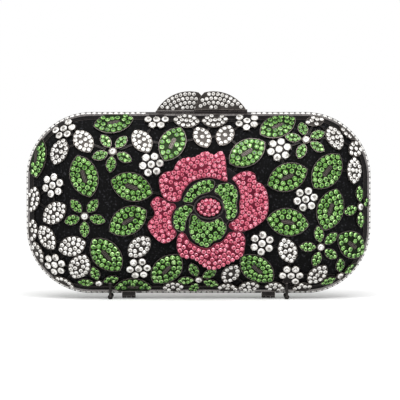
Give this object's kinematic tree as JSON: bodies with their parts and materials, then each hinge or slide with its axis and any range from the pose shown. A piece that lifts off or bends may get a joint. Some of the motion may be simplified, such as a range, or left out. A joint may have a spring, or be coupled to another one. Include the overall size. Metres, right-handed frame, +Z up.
{
  "type": "crystal clutch",
  "caption": "Hard-shell evening clutch with two domed halves hinged at the base, a stone-set openwork of a rose, leaves and daisies over black cloth, and a two-lobed top clasp.",
  "frame": {"origin": "centre of the bounding box's bottom face, on the surface that the four ball feet stand on", "axes": "+X to the right along the case's width, -Y towards the viewer of the front half, +Z up; the parting plane is y = 0"},
  "size_m": [0.1902, 0.0544, 0.1143],
  "materials": {
    "bright_metal": "polished",
    "gunmetal": "dark plated",
    "steel": "satin",
    "pink_enamel": "gloss",
    "green_stone": "faceted",
    "clear_stone": "faceted",
    "pink_stone": "faceted",
    "black_cloth": "matt",
    "lining_cloth": "satin"
  },
  "bodies": {
    "rear_half": {"rear_frame": "bright_metal", "rear_lattice": "gunmetal", "rear_leaf_plates": "gunmetal", "rear_small_leaf_plates": "gunmetal", "rear_daisy_plates": "gunmetal", "rear_star_plates": "gunmetal", "rear_rose_seat": "gunmetal", "rear_rose_petals": "gunmetal", "rear_rose_leaves": "gunmetal", "rear_rose_centre": "pink_enamel", "rear_leaf_stones": "green_stone", "rear_small_leaf_stones": "clear_stone", "rear_daisy_stones": "clear_stone", "rear_petal_stones": "pink_stone", "rear_rose_leaf_stones": "green_stone", "rear_frame_stones": "clear_stone", "rear_board": "black_cloth", "rear_lining": "lining_cloth", "rear_feet": "gunmetal", "rear_hinge_leaves": "gunmetal", "rear_clasp_base": "gunmetal", "rear_clasp_lobe": "gunmetal", "rear_clasp_stones": "clear_stone", "hinge_pins": "steel", "clasp_strike": "steel"},
    "front_half": {"front_frame": "bright_metal", "front_lattice": "gunmetal", "front_leaf_plates": "gunmetal", "front_small_leaf_plates": "gunmetal", "front_daisy_plates": "gunmetal", "front_star_plates": "gunmetal", "front_rose_seat": "gunmetal", "front_rose_petals": "gunmetal", "front_rose_leaves": "gunmetal", "front_rose_centre": "pink_enamel", "front_leaf_stones": "green_stone", "front_small_leaf_stones": "clear_stone", "front_daisy_stones": "clear_stone", "front_petal_stones": "pink_stone", "front_rose_leaf_stones": "green_stone", "front_frame_stones": "clear_stone", "front_board": "black_cloth", "front_lining": "lining_cloth", "front_feet": "gunmetal", "front_hinge_leaves": "gunmetal", "front_clasp_base": "gunmetal", "clasp_pivot_pin": "steel", "clasp_spring": "steel"},
    "clasp_lever": {"front_clasp_lobe": "gunmetal", "front_clasp_stones": "clear_stone", "clasp_hook": "steel"}
  },
  "joints": [
    {"name": "case_hinge", "type": "hinge", "parent": "rear_half", "child": "front_half", "pos_m": [0, 0, 0.0019], "axis": [1, 0, 0], "range_deg": [0, 75]},
    {"name": "clasp_pivot", "type": "hinge", "parent": "front_half", "child": "clasp_lever", "pos_m": [0.0082, -0.0022, 0.10475], "axis": [1, 0, 0], "range_deg": [0, 18], "stiffness_Nm_per_rad": 0.005, "springref_deg": -57.3}
  ]
}
